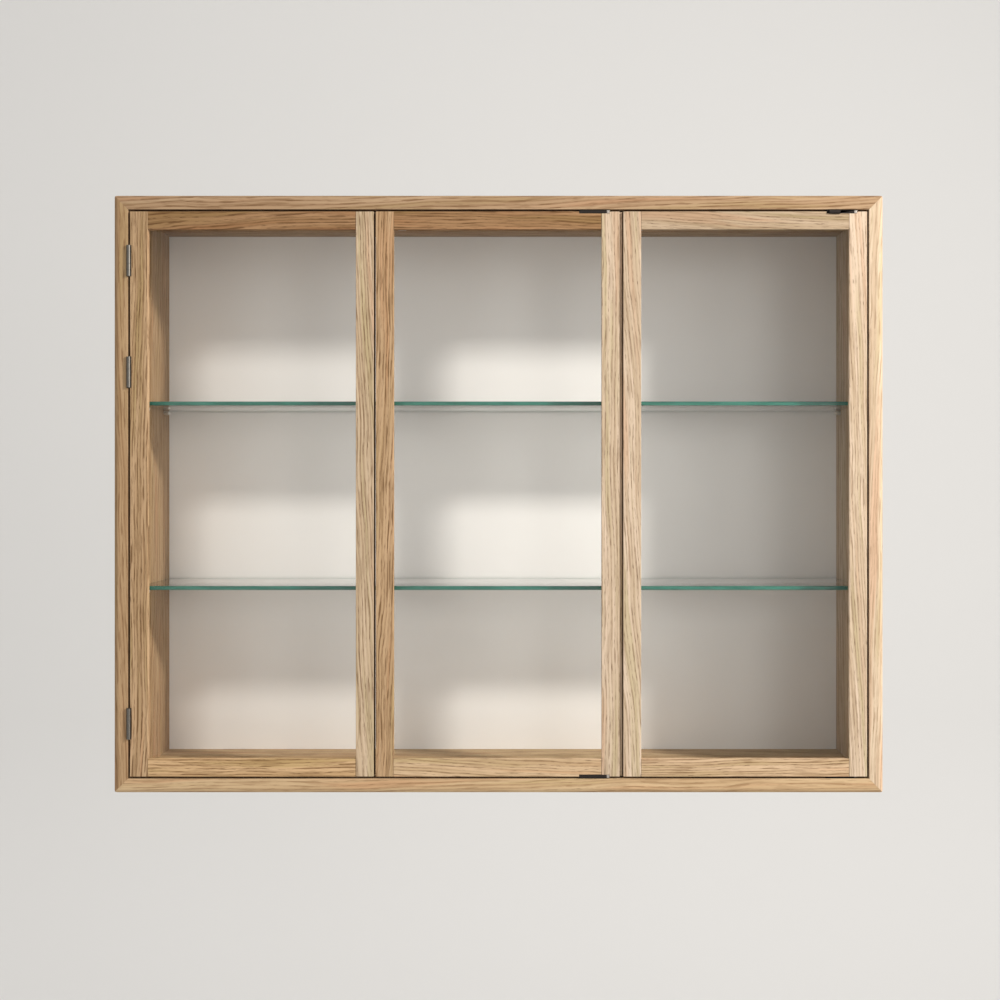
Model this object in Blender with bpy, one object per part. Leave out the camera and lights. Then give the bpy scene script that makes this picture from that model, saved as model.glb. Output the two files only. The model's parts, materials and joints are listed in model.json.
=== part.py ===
"""Wall-mounted display case: an oak carcass on a hidden hanging cleat, two glass shelves, three glazed doors.

The left door turns on three butt hinges. The middle and right doors turn on pivot hinges near their right
edges. A sprung push latch stands behind the free top corner of each door.

Frame: +Z up, +X to the right, the front towards -Y. The wall is the plane Y = 0, and the origin is the centre
of the wall cleat's back face. Lengths are in metres.
"""

import math

import bmesh
import bpy
from mathutils import Matrix, Vector

# Fits
FIT = 0.0003  # between pieces that touch
MITRE_TRIM = 0.0002  # taken off each end of a mitred board, along its length
OVERCUT = 0.001  # how far a cutter passes the face that it opens

# Carcass
WIDTH, DEPTH, HEIGHT = 0.950, 0.220, 0.738
BOARD = 0.018
ARRIS_RADIUS = 0.0075  # round-over of the outer front arris
CORNER_RADIUS = 0.005  # the carcass's corners, seen from the front
CLEAT_DROP = 0.085  # from the carcass's top face down to the origin
RECESS = 0.020  # hanging space behind the back panel
BACK_THICKNESS = 0.008
BACK_REBATE = 0.008  # how deep the rear rebate goes into each board

LEFT, RIGHT = -WIDTH / 2, WIDTH / 2
FRONT = -DEPTH
TOP, BOTTOM = CLEAT_DROP, CLEAT_DROP - HEIGHT
MIDDLE = (TOP + BOTTOM) / 2
INNER_LEFT, INNER_RIGHT = LEFT + BOARD, RIGHT - BOARD
INNER_TOP, INNER_BOTTOM = TOP - BOARD, BOTTOM + BOARD
BACK_FACE = -RECESS - BACK_THICKNESS

# Hanging cleats, all set in the recess
CLEAT_THICKNESS = 0.0175
CLEAT_HEIGHT = 0.040
WALL_CLEAT_LENGTH = 0.860
CABINET_CLEAT_LENGTH = 0.900
BATTEN_HEIGHT = 0.040
WALL_CLEARANCE = 0.001  # from the cabinet cleat to the wall

# Glass shelves and their pins
SHELF_THICKNESS = 0.005
SHELF_FRONT = FRONT + 0.042  # clear of the meeting lip as the middle door swings
SHELF_BACK = BACK_FACE - 0.002
SHELF_SIDE_GAP = 0.001
SHELF_CENTRES = {"upper": MIDDLE + 0.114, "lower": MIDDLE - 0.119}
PIN_RADIUS = 0.0020
PIN_COLLAR_RADIUS = 0.0029
PIN_COLLAR = 0.0012
PIN_PROUD = 0.008
PIN_SUNK = 0.010
PIN_HOLE_RADIUS = 0.00218
PIN_SETBACK = 0.025  # from each edge of the shelf

# Doors
GAP = 0.0026
WIDE_GAP = 0.00475  # between the middle and right doors
DOOR_THICKNESS = 0.020
FRAME_WIDTH = 0.022
LIP = 0.008  # thickness of the frame in front of the glass
GLASS_REBATE = 0.008
GLASS_EDGE_GAP = 0.001
BEAD_SETBACK = 0.003  # from the frame's inner edge, so that the bead doesn't show past it
DOOR_GLASS = 0.004
TENON_LENGTH = 0.010
TENON_Y = (0.010, 0.016)  # behind the door's face
TENON_Z = (0.0055, 0.0130)  # in from the rail's outer edge
MEETING_LIP = 0.0035  # how far the middle door's right stile reaches into the wide gap
MEETING_LIP_SETBACK = 0.005  # from the door's face
DOOR_WIDTH = (INNER_RIGHT - INNER_LEFT - 3 * GAP - WIDE_GAP) / 3
DOOR_BOTTOM, DOOR_TOP = INNER_BOTTOM + GAP, INNER_TOP - GAP
DOOR_BACK = FRONT + DOOR_THICKNESS
LEFT_DOOR_X = INNER_LEFT + GAP
MIDDLE_DOOR_X = LEFT_DOOR_X + DOOR_WIDTH + GAP
RIGHT_DOOR_X = MIDDLE_DOOR_X + DOOR_WIDTH + WIDE_GAP

# Butt hinges of the left door
HINGE_LENGTH = 0.038
HINGE_CENTRES = {"top": MIDDLE + 0.2876, "second": MIDDLE + 0.1503, "bottom": MIDDLE - 0.2831}
KNUCKLES = 5
KNUCKLE_GAP = 0.0002
KNUCKLE_RADIUS = 0.0025
BARREL_BORE = 0.00125
HINGE_PIN_RADIUS = 0.00115
LEAF_THICKNESS = 0.0012
LEAF_WIDTH = 0.015  # from the barrel's axis
LEAF_START = 0.0032  # from the axis to the leaf's straight edge, clear of the other leaf's knuckles
BARREL_NOTCH = 0.0032  # half the width of the notch that the barrel lies in
SCREW_HOLE_RADIUS, SCREW_SINK_RADIUS = 0.0015, 0.0027
LEAF_SCREW_SPREAD = 0.012  # from the leaf's middle to each screw
LEAF_SCREW_BACK = 0.009  # from the barrel's axis
BUTT_AXIS = Vector((INNER_LEFT + GAP / 2, FRONT - 0.001, MIDDLE))

# Pivot hinges of the middle and right doors
PIVOT_INSET = 0.024  # from the door's right edge to the axis
PIVOT_PLATE_X = (-0.0255, 0.0115)  # the plates' ends, from the axis
PIVOT_PLATE_Y = (-0.007, 0.007)
PIVOT_PLATE_SUNK = 0.0016  # let into the carcass
PIVOT_PLATE_PROUD = 0.0007
PIVOT_ARM = (0.0010, 0.0048)  # the arm's two faces, measured from the carcass's inner face
PIVOT_PIN_RADIUS, PIVOT_BORE = 0.00250, 0.00262
PIVOT_PIN_REACH = 0.0043
PIVOT_AXIS_Y = FRONT + DOOR_THICKNESS / 2
NOSE_X = (-0.0229, -0.0093)  # raised nose on the right door's top arm, from the axis
NOSE_Z = (0.0004, 0.0058)  # below the carcass's inner face, so that it passes under it as the door opens
NOSE_DEPTH = 0.0030
NOSE_CLEARANCE = 0.0004  # to the door's face
HIDDEN_ARM_SETBACK = 0.004  # the right door's bottom arm lies behind a skin of wood

# Push latches
LATCH_INSET = 0.025  # from the door's free edge to the latch's middle
LATCH_WIDTH, LATCH_HEIGHT, LATCH_LENGTH = 0.011, 0.012, 0.055
LATCH_SETBACK = 0.0035  # from the door's back to the housing
LATCH_BORE_DEPTH = 0.042
LATCH_BORE_RADIUS, PLUNGER_RADIUS = 0.00312, 0.0030
PLUNGER_LENGTH = 0.030
LATCH_FRONT = DOOR_BACK + LATCH_SETBACK
LATCH_AXIS_Z = INNER_TOP - FIT - LATCH_HEIGHT / 2

# Finishes: colour, roughness, metallic, transmission
FINISHES = {
    "carcass_oak": ((0.62, 0.44, 0.27), 0.55, 0.0, 0.0),
    "door_oak": ((0.56, 0.38, 0.22), 0.55, 0.0, 0.0),
    "white_panel": ((0.80, 0.78, 0.74), 0.60, 0.0, 0.0),
    "softwood": ((0.70, 0.55, 0.36), 0.70, 0.0, 0.0),
    "door_glass": ((0.95, 0.98, 0.97), 0.03, 0.0, 1.0),
    "shelf_glass": ((0.70, 0.90, 0.82), 0.03, 0.0, 1.0),
    "satin_nickel": ((0.55, 0.53, 0.50), 0.35, 1.0, 0.0),
    "black_steel": ((0.03, 0.03, 0.03), 0.45, 0.6, 0.0),
    "grey_plastic": ((0.45, 0.45, 0.44), 0.50, 0.0, 0.0),
}


# Building blocks


def clear_scene():
    for thing in list(bpy.data.objects):
        bpy.data.objects.remove(thing, do_unlink=True)


def material_for(name, finish):
    colour, roughness, metallic, transmission = FINISHES[finish]
    material = bpy.data.materials.new(name)
    material.use_nodes = True
    shader = material.node_tree.nodes["Principled BSDF"]
    shader.inputs["Base Color"].default_value = (*colour, 1.0)
    shader.inputs["Roughness"].default_value = roughness
    shader.inputs["Metallic"].default_value = metallic
    shader.inputs["Transmission Weight"].default_value = transmission
    return material


def add(name, bm, finish=None, pivot=None):
    """Makes an object of a mesh given in the model's frame. A moving piece hangs from its pivot empty."""
    bmesh.ops.recalc_face_normals(bm, faces=bm.faces)
    mesh = bpy.data.meshes.new(name)
    bm.to_mesh(mesh)
    bm.free()
    obj = bpy.data.objects.new(name, mesh)
    bpy.context.scene.collection.objects.link(obj)
    if finish:
        mesh.materials.append(material_for(name, finish))
    if pivot:
        mesh.transform(Matrix.Translation(-pivot.location))
        obj.parent = pivot
    return obj


def pivot_empty(name, location):
    empty = bpy.data.objects.new(name, None)
    empty.location = location
    bpy.context.scene.collection.objects.link(empty)
    return empty


def extruded(sections):
    """Closed mesh through matching loops of points, capped at both ends."""
    bm = bmesh.new()
    loops = [[bm.verts.new(point) for point in section] for section in sections]
    for near, far in zip(loops, loops[1:]):
        for i in range(len(near)):
            j = (i + 1) % len(near)
            bm.faces.new((near[i], near[j], far[j], far[i]))
    bm.faces.new(reversed(loops[0]))
    bm.faces.new(loops[-1])
    return bm


def prism(outline, axis, start, end):
    """An outline extruded along an axis. Its points give the other two axes, in X, Y, Z order."""

    def placed(point, height):
        values = list(point)
        values.insert("XYZ".index(axis), height)
        return Vector(values)

    return extruded([[placed(point, height) for point in outline] for height in (start, end)])


def box(low, high):
    (x0, y0, z0), (x1, y1, z1) = low, high
    return prism([(x0, y0), (x1, y0), (x1, y1), (x0, y1)], "Z", z0, z1)


def arc(centre, radius, start, end, steps):
    """Points along an arc, from one angle to another in degrees, both ends included."""
    angles = [math.radians(start + (end - start) * i / steps) for i in range(steps + 1)]
    return [(centre[0] + radius * math.cos(a), centre[1] + radius * math.sin(a)) for a in angles]


def turned(profile, origin, direction, segments):
    """A solid of revolution: profile points give the radius and the distance along the direction."""
    direction = Vector(direction)
    turn = Vector((0, 0, 1)).rotation_difference(direction).to_matrix()
    rings = []
    for radius, height in profile:
        circle = arc((0, 0), radius, 0, 360, segments)[:-1]
        rings.append([Vector(origin) + turn @ Vector((x, y, height)) for x, y in circle])
    return extruded(rings)


def boolean(target, tool, operation):
    tool.hide_render = True
    tool.display_type = "WIRE"
    step = target.modifiers.new(tool.name, "BOOLEAN")
    step.operation = operation
    step.solver = "EXACT"
    step.object = tool


def cut(targets, tool):
    for target in targets:
        boolean(target, tool, "DIFFERENCE")


def smooth_round(obj):
    obj.data.shade_smooth()
    obj.data.set_sharp_from_angle(angle=math.radians(35))


# Carcass


def carcass_board(name, centre, along, inward, half_length):
    """One mitred board. Its section is given by the distance in from the outer face, and by Y."""
    section = [(0.0, 0.0)]
    section += arc((ARRIS_RADIUS, FRONT + ARRIS_RADIUS), ARRIS_RADIUS, 180, 270, 6)
    section += [(BOARD, FRONT), (BOARD, BACK_FACE)]
    section += [(BOARD - BACK_REBATE, BACK_FACE), (BOARD - BACK_REBATE, 0.0)]
    ends = []
    for sign in (-1, 1):
        reach = [sign * (half_length - depth - MITRE_TRIM) for depth, _ in section]
        ends.append(
            [
                Vector(centre) + Vector(inward) * depth + Vector(along) * length + Vector((0, y, 0))
                for (depth, y), length in zip(section, reach)
            ]
        )
    return add(name, extruded(ends), "carcass_oak")


def carcass():
    boards = {
        "top": carcass_board("carcass_top", (0, 0, TOP), (1, 0, 0), (0, 0, -1), WIDTH / 2),
        "bottom": carcass_board("carcass_bottom", (0, 0, BOTTOM), (1, 0, 0), (0, 0, 1), WIDTH / 2),
        "left": carcass_board("carcass_left_side", (LEFT, 0, MIDDLE), (0, 0, 1), (1, 0, 0), HEIGHT / 2),
        "right": carcass_board("carcass_right_side", (RIGHT, 0, MIDDLE), (0, 0, 1), (-1, 0, 0), HEIGHT / 2),
    }
    for side, x, inward in (("left", LEFT, 1), ("right", RIGHT, -1)):
        for end, z, down in (("top", TOP, -1), ("bottom", BOTTOM, 1)):
            curve = arc((CORNER_RADIUS, CORNER_RADIUS), CORNER_RADIUS, 270, 180, 5)
            corner = [(-OVERCUT, -OVERCUT), (CORNER_RADIUS, -OVERCUT), *curve, (-OVERCUT, CORNER_RADIUS)]
            outline = [(x + inward * a, z + down * b) for a, b in corner]
            tool = add(f"cut_{end}_{side}_corner", prism(outline, "Y", FRONT - OVERCUT, OVERCUT))
            cut([boards[end], boards[side]], tool)
    return boards


def back_panel():
    reach = BACK_REBATE - FIT
    low = (INNER_LEFT - reach, BACK_FACE + FIT, INNER_BOTTOM - reach)
    high = (INNER_RIGHT + reach, -RECESS, INNER_TOP + reach)
    add("back_panel", box(low, high), "white_panel")


def cleats():
    """A bevelled pair that hooks together at 45 degrees, and a batten that keeps the case upright."""
    half = CLEAT_HEIGHT / 2
    wall = [(0, -half), (0, half), (-CLEAT_THICKNESS, half + CLEAT_THICKNESS), (-CLEAT_THICKNESS, -half)]
    length = WALL_CLEAT_LENGTH / 2
    add("wall_cleat", prism(wall, "X", -length, length), "softwood")

    back, front = -WALL_CLEARANCE, -RECESS + FIT
    seat = half + FIT * math.sqrt(2)
    ceiling = TOP - (BOARD - BACK_REBATE) - FIT
    hook = [(back, seat - back), (back, ceiling), (front, ceiling), (front, seat - front)]
    length = CABINET_CLEAT_LENGTH / 2
    add("cabinet_cleat", prism(hook, "X", -length, length), "softwood")

    floor = BOTTOM + (BOARD - BACK_REBATE) + FIT
    batten = box((-length, -CLEAT_THICKNESS, floor), (length, 0, floor + BATTEN_HEIGHT))
    add("lower_batten", batten, "softwood")


def shelves(boards):
    side_x = {"left": (INNER_LEFT, 1), "right": (INNER_RIGHT, -1)}
    places = {"front": SHELF_FRONT + PIN_SETBACK, "back": SHELF_BACK - PIN_SETBACK}
    for level, centre in SHELF_CENTRES.items():
        low = (INNER_LEFT + SHELF_SIDE_GAP, SHELF_FRONT, centre - SHELF_THICKNESS / 2)
        high = (INNER_RIGHT - SHELF_SIDE_GAP, SHELF_BACK, centre + SHELF_THICKNESS / 2)
        add(f"{level}_shelf", box(low, high), "shelf_glass")
        pin_z = centre - SHELF_THICKNESS / 2 - FIT - PIN_COLLAR_RADIUS
        for side, (x, inward) in side_x.items():
            for place, y in places.items():
                shelf_pin(f"{level}_{side}_{place}_pin", boards[side], Vector((x, y, pin_z)), inward)


def shelf_pin(name, board, seat, inward):
    """A turned pin: a shank in the board, a collar against it and a rounded end under the glass."""
    profile = [
        (PIN_RADIUS, -PIN_SUNK),
        (PIN_RADIUS, FIT),
        (PIN_COLLAR_RADIUS, FIT),
        (PIN_COLLAR_RADIUS, PIN_PROUD - PIN_COLLAR),
        (PIN_COLLAR_RADIUS * 0.7, PIN_PROUD),
    ]
    smooth_round(add(name, turned(profile, seat, (inward, 0, 0), 12), "satin_nickel"))
    bore = [(PIN_HOLE_RADIUS, -PIN_SUNK - FIT), (PIN_HOLE_RADIUS, OVERCUT)]
    cut([board], add(f"cut_{name}", turned(bore, seat, (inward, 0, 0), 12)))


# Doors


def door_frame(name, x0, pivot):
    """Two stiles and two rails, rebated behind for the glass. Returns them by place."""
    x1 = x0 + DOOR_WIDTH
    core = FRAME_WIDTH - GLASS_REBATE
    lip_y, tenon_y = FRONT + LIP, [FRONT + y for y in TENON_Y]
    section = [(0, FRONT), (FRAME_WIDTH, FRONT), (FRAME_WIDTH, lip_y)]
    section += [(core, lip_y), (core, DOOR_BACK), (0, DOOR_BACK)]
    meeting_y = FRONT + MEETING_LIP_SETBACK
    lipped = section[:-1] + [(-MEETING_LIP, DOOR_BACK), (-MEETING_LIP, meeting_y), (0, meeting_y)]
    parts = {}
    for side, outer, inward in (("left", x0, 1), ("right", x1, -1)):
        meets = name == "middle_door" and side == "right"
        outline = [(outer + inward * across, y) for across, y in (lipped if meets else section)]
        stile = add(f"{name}_{side}_stile", prism(outline, "Z", DOOR_BOTTOM, DOOR_TOP), "door_oak", pivot)
        parts[side] = stile
    for end, outer, inward in (("top", DOOR_TOP, -1), ("bottom", DOOR_BOTTOM, 1)):
        outline = [(y, outer + inward * across) for across, y in section]
        shoulder = FRAME_WIDTH + FIT
        rail = add(f"{name}_{end}_rail", prism(outline, "X", x0 + shoulder, x1 - shoulder), "door_oak", pivot)
        parts[end] = rail
        back_shoulder = core + FIT
        ends_z = sorted((outer, outer + inward * core))
        block = box((x0 + back_shoulder, lip_y + FIT, ends_z[0]), (x1 - back_shoulder, DOOR_BACK, ends_z[1]))
        boolean(rail, add(f"join_{name}_{end}_shoulders", block, pivot=pivot), "UNION")
        tenon_z = sorted(outer + inward * z for z in TENON_Z)
        reach = core - TENON_LENGTH
        tenon = box((x0 + reach, tenon_y[0], tenon_z[0]), (x1 - reach, tenon_y[1], tenon_z[1]))
        boolean(rail, add(f"join_{name}_{end}_tenons", tenon, pivot=pivot), "UNION")
        socket = box(
            (x0 + reach - FIT, tenon_y[0] - FIT, tenon_z[0] - FIT),
            (x1 - reach + FIT, tenon_y[1] + FIT, tenon_z[1] + FIT),
        )
        cut([parts["left"], parts["right"]], add(f"cut_{name}_{end}_mortises", socket, pivot=pivot))
    return parts


def glazing(name, x0, pivot):
    """The pane, and the ring of bead that holds it in the rebate."""
    lap = GLASS_REBATE - GLASS_EDGE_GAP
    inset = FRAME_WIDTH - lap
    glass_y = FRONT + LIP + FIT
    x1 = x0 + DOOR_WIDTH
    pane = box(
        (x0 + inset, glass_y, DOOR_BOTTOM + inset),
        (x1 - inset, glass_y + DOOR_GLASS, DOOR_TOP - inset),
    )
    add(f"{name}_glass", pane, "door_glass", pivot)

    outer, inner = FRAME_WIDTH - GLASS_REBATE + FIT, FRAME_WIDTH - BEAD_SETBACK
    sections = []
    for inset, y in (
        (outer, glass_y + DOOR_GLASS + FIT),
        (outer, DOOR_BACK),
        (inner, DOOR_BACK),
        (inner, glass_y + DOOR_GLASS + FIT),
    ):
        corners = [(x0 + inset, DOOR_BOTTOM + inset), (x1 - inset, DOOR_BOTTOM + inset)]
        corners += [(x1 - inset, DOOR_TOP - inset), (x0 + inset, DOOR_TOP - inset)]
        sections.append([Vector((x, y, z)) for x, z in corners])
    bm = bmesh.new()
    loops = [[bm.verts.new(point) for point in section] for section in sections]
    for near, far in zip(loops, loops[1:] + loops[:1]):
        for i in range(4):
            j = (i + 1) % 4
            bm.faces.new((near[i], near[j], far[j], far[i]))
    add(f"{name}_glazing_bead", bm, "door_oak", pivot)


# Butt hinges


def hinge_leaf(name, side, numbers, z_low, pivot):
    """A leaf on one side of the axis, -1 for the carcass and 1 for the door, with the knuckles it carries."""
    x, y = BUTT_AXIS.x, BUTT_AXIS.y
    outer, inner = x + side * KNUCKLE_RADIUS, x + side * (KNUCKLE_RADIUS - LEAF_THICKNESS)
    x_low, x_high = sorted((outer, inner))
    plate = box((x_low, y + LEAF_START, z_low), (x_high, y + LEAF_WIDTH, z_low + HINGE_LENGTH))
    leaf = add(name, plate, "satin_nickel", pivot)

    knuckle = HINGE_LENGTH / KNUCKLES
    meets = math.degrees(math.acos((KNUCKLE_RADIUS - LEAF_THICKNESS) / KNUCKLE_RADIUS))
    curl = arc((0, 0), KNUCKLE_RADIUS, 0, meets - 360, 18)
    tail = LEAF_START + OVERCUT
    curl += [(KNUCKLE_RADIUS - LEAF_THICKNESS, tail), (KNUCKLE_RADIUS, tail)]
    outline = [(x + side * across, y + back) for across, back in curl]
    for number in numbers:
        start = z_low + number * knuckle + (KNUCKLE_GAP / 2 if number else 0)
        end = z_low + (number + 1) * knuckle - (KNUCKLE_GAP / 2 if number + 1 < KNUCKLES else 0)
        roll = add(f"join_{name}_{number}", prism(outline, "Z", start, end), pivot=pivot)
        boolean(leaf, roll, "UNION")
    bore = [(BARREL_BORE, -OVERCUT), (BARREL_BORE, HINGE_LENGTH + OVERCUT)]
    cut([leaf], add(f"cut_{name}_bore", turned(bore, (x, y, z_low), (0, 0, 1), 16), pivot=pivot))

    depth = LEAF_THICKNESS
    slope = (SCREW_SINK_RADIUS - SCREW_HOLE_RADIUS) / depth
    sink = [
        (SCREW_HOLE_RADIUS - slope * FIT, -FIT),
        (SCREW_SINK_RADIUS + slope * FIT, depth + FIT),
    ]
    for end in (-1, 1):
        seat = (outer, y + LEAF_SCREW_BACK, z_low + HINGE_LENGTH / 2 + end * LEAF_SCREW_SPREAD)
        hole = add(f"cut_{name}_screw_{end}", turned(sink, seat, (-side, 0, 0), 14), pivot=pivot)
        cut([leaf], hole)
    smooth_round(leaf)


def leaf_mortise(name, side, target, z_low, pivot=None):
    """The recess for one leaf, deeper at the front, where the barrel lies."""
    x, y = BUTT_AXIS.x, BUTT_AXIS.y
    leaf_depth = KNUCKLE_RADIUS + FIT
    across = [
        (0, FRONT - OVERCUT),
        (BARREL_NOTCH, FRONT - OVERCUT),
        (BARREL_NOTCH, FRONT + BARREL_NOTCH),
        (leaf_depth, FRONT + BARREL_NOTCH),
        (leaf_depth, y + LEAF_WIDTH + FIT),
        (0, y + LEAF_WIDTH + FIT),
    ]
    outline = [(x + side * a, b) for a, b in across]
    recess = prism(outline, "Z", z_low - FIT, z_low + HINGE_LENGTH + FIT)
    cut([target], add(f"cut_{name}_mortise", recess, pivot=pivot))


def butt_hinges(side_board, stile, pivot):
    for place, centre in HINGE_CENTRES.items():
        name = f"{place}_hinge"
        z_low = centre - HINGE_LENGTH / 2
        hinge_leaf(f"{name}_carcass_leaf", -1, (0, 2, 4), z_low, None)
        hinge_leaf(f"{name}_door_leaf", 1, (1, 3), z_low, pivot)
        leaf_mortise(f"{name}_carcass", -1, side_board, z_low)
        leaf_mortise(f"{name}_door", 1, stile, z_low, pivot)
        dome = HINGE_PIN_RADIUS / 2
        profile = [
            (HINGE_PIN_RADIUS - dome, 0),
            (HINGE_PIN_RADIUS, dome),
            (HINGE_PIN_RADIUS, HINGE_LENGTH - dome),
            (HINGE_PIN_RADIUS - dome, HINGE_LENGTH),
        ]
        pin = turned(profile, (BUTT_AXIS.x, BUTT_AXIS.y, z_low), (0, 0, 1), 16)
        smooth_round(add(f"{name}_pin", pin, "satin_nickel"))


# Pivot hinges


def pivot_hinge(door, end, board, frame, axis_x, pivot):
    """A plate with a pin let into the carcass, and an arm in the door's edge that turns on the pin."""
    name = f"{door}_{end}_pivot"
    hidden = name == "right_door_bottom_pivot"
    inner, away = (INNER_TOP, -1) if end == "top" else (INNER_BOTTOM, 1)
    x_span = [axis_x + x for x in PIVOT_PLATE_X]
    y_span = [PIVOT_AXIS_Y + y for y in PIVOT_PLATE_Y]

    def slab(x_ends, y_ends, near, far):
        """A box between two distances from the carcass's inner face, counted into the opening."""
        z_ends = sorted((inner + away * near, inner + away * far))
        return box((x_ends[0], y_ends[0], z_ends[0]), (x_ends[1], y_ends[1], z_ends[1]))

    centre, direction = (axis_x, PIVOT_AXIS_Y, inner), (0, 0, away)
    plate = add(f"{name}_plate", slab(x_span, y_span, -PIVOT_PLATE_SUNK, PIVOT_PLATE_PROUD), "black_steel")
    stub = [(PIVOT_PIN_RADIUS, 0), (PIVOT_PIN_RADIUS, PIVOT_PIN_REACH)]
    boolean(plate, add(f"join_{name}_pin", turned(stub, centre, direction, 24)), "UNION")
    x_room, y_room = (x_span[0] - FIT, x_span[1] + FIT), (y_span[0] - FIT, y_span[1] + FIT)
    cut([board], add(f"cut_{name}_plate", slab(x_room, y_room, -PIVOT_PLATE_SUNK - FIT, OVERCUT)))

    arm_front = FRONT + (HIDDEN_ARM_SETBACK if hidden else 0)
    arm = add(f"{name}_arm", slab(x_span, (arm_front, y_span[1]), *PIVOT_ARM), "black_steel", pivot)
    bore = [(PIVOT_BORE, PIVOT_ARM[0] - OVERCUT), (PIVOT_BORE, PIVOT_ARM[1] + OVERCUT)]
    cut([arm], add(f"cut_{name}_bore", turned(bore, centre, direction, 24), pivot=pivot))
    room_front = arm_front - (FIT if hidden else OVERCUT)
    room = slab(x_room, (room_front, y_room[1]), PIVOT_ARM[0] - FIT, PIVOT_ARM[1] + FIT)
    cut([frame["right"], frame[end]], add(f"cut_{name}_arm", room, pivot=pivot))
    for piece in (plate, arm):
        smooth_round(piece)
    return arm


def pivot_nose(arm, axis_x, pivot):
    """A rounded nose that stands out of the arm's front edge and laps the door's face with a small gap."""
    low, high = (INNER_TOP - z for z in reversed(NOSE_Z))
    middle, half = (low + high) / 2, (high - low) / 2
    back = FRONT - NOSE_CLEARANCE
    bulge = NOSE_DEPTH - NOSE_CLEARANCE
    angles = [math.radians(22.5 * i) for i in range(-4, 5)]
    outline = [(back - bulge * math.cos(a), middle + half * math.sin(a)) for a in angles]
    x_ends = [axis_x + x for x in NOSE_X]
    nose = add("join_nose", prism(outline, "X", *x_ends), pivot=pivot)
    neck_z = [INNER_TOP - z for z in reversed(PIVOT_ARM)]
    low_corner = (x_ends[0] + FIT, back - FIT, neck_z[0] + FIT)
    high_corner = (x_ends[1] - FIT, FRONT + FIT, neck_z[1] - FIT)
    boolean(arm, add("join_nose_neck", box(low_corner, high_corner), pivot=pivot), "UNION")
    boolean(arm, nose, "UNION")


# Push latches


def push_latch(name, x):
    """A housing under the carcass's top, and the magnetic plunger that slides in it along Y."""
    half = LATCH_WIDTH / 2
    low = (x - half, LATCH_FRONT, LATCH_AXIS_Z - LATCH_HEIGHT / 2)
    high = (x + half, LATCH_FRONT + LATCH_LENGTH, LATCH_AXIS_Z + LATCH_HEIGHT / 2)
    housing = add(f"{name}_latch_housing", box(low, high), "grey_plastic")
    mouth = (x, LATCH_FRONT, LATCH_AXIS_Z)
    bore = [(LATCH_BORE_RADIUS, -OVERCUT), (LATCH_BORE_RADIUS, LATCH_BORE_DEPTH)]
    cut([housing], add(f"cut_{name}_latch_bore", turned(bore, mouth, (0, 1, 0), 24)))

    axis = pivot_empty(f"{name}_latch_axis", (x, DOOR_BACK + FIT, LATCH_AXIS_Z))
    rounding = PLUNGER_RADIUS / 5
    profile = [
        (PLUNGER_RADIUS - rounding, 0),
        (PLUNGER_RADIUS, rounding),
        (PLUNGER_RADIUS, PLUNGER_LENGTH),
    ]
    rod = turned(profile, axis.location, (0, 1, 0), 24)
    smooth_round(add(f"{name}_latch_plunger", rod, "black_steel", axis))


def main():
    clear_scene()
    boards = carcass()
    back_panel()
    cleats()
    shelves(boards)

    left_pivot = pivot_empty("left_door_axis", BUTT_AXIS)
    left_frame = door_frame("left_door", LEFT_DOOR_X, left_pivot)
    glazing("left_door", LEFT_DOOR_X, left_pivot)
    butt_hinges(boards["left"], left_frame["left"], left_pivot)
    push_latch("left_door", LEFT_DOOR_X + DOOR_WIDTH - LATCH_INSET)

    for door, x0 in (("middle_door", MIDDLE_DOOR_X), ("right_door", RIGHT_DOOR_X)):
        axis_x = x0 + DOOR_WIDTH - PIVOT_INSET
        pivot = pivot_empty(f"{door}_axis", (axis_x, PIVOT_AXIS_Y, MIDDLE))
        frame = door_frame(door, x0, pivot)
        glazing(door, x0, pivot)
        arms = {end: pivot_hinge(door, end, boards[end], frame, axis_x, pivot) for end in ("top", "bottom")}
        if door == "right_door":
            pivot_nose(arms["top"], axis_x, pivot)
        push_latch(door, x0 + LATCH_INSET)


main()
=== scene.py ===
"""Looks of the wall showcase: oak with open grain, glazed doors, glass shelves, white back and fittings.

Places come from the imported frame. Copies stand for its wood, metal and plastic nodes, most of them with
eased edges, and the small fittings that the solid model leaves out are added.
"""

import json
import math
import random

import bmesh
import bpy
from mathutils import Matrix, Vector

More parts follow.
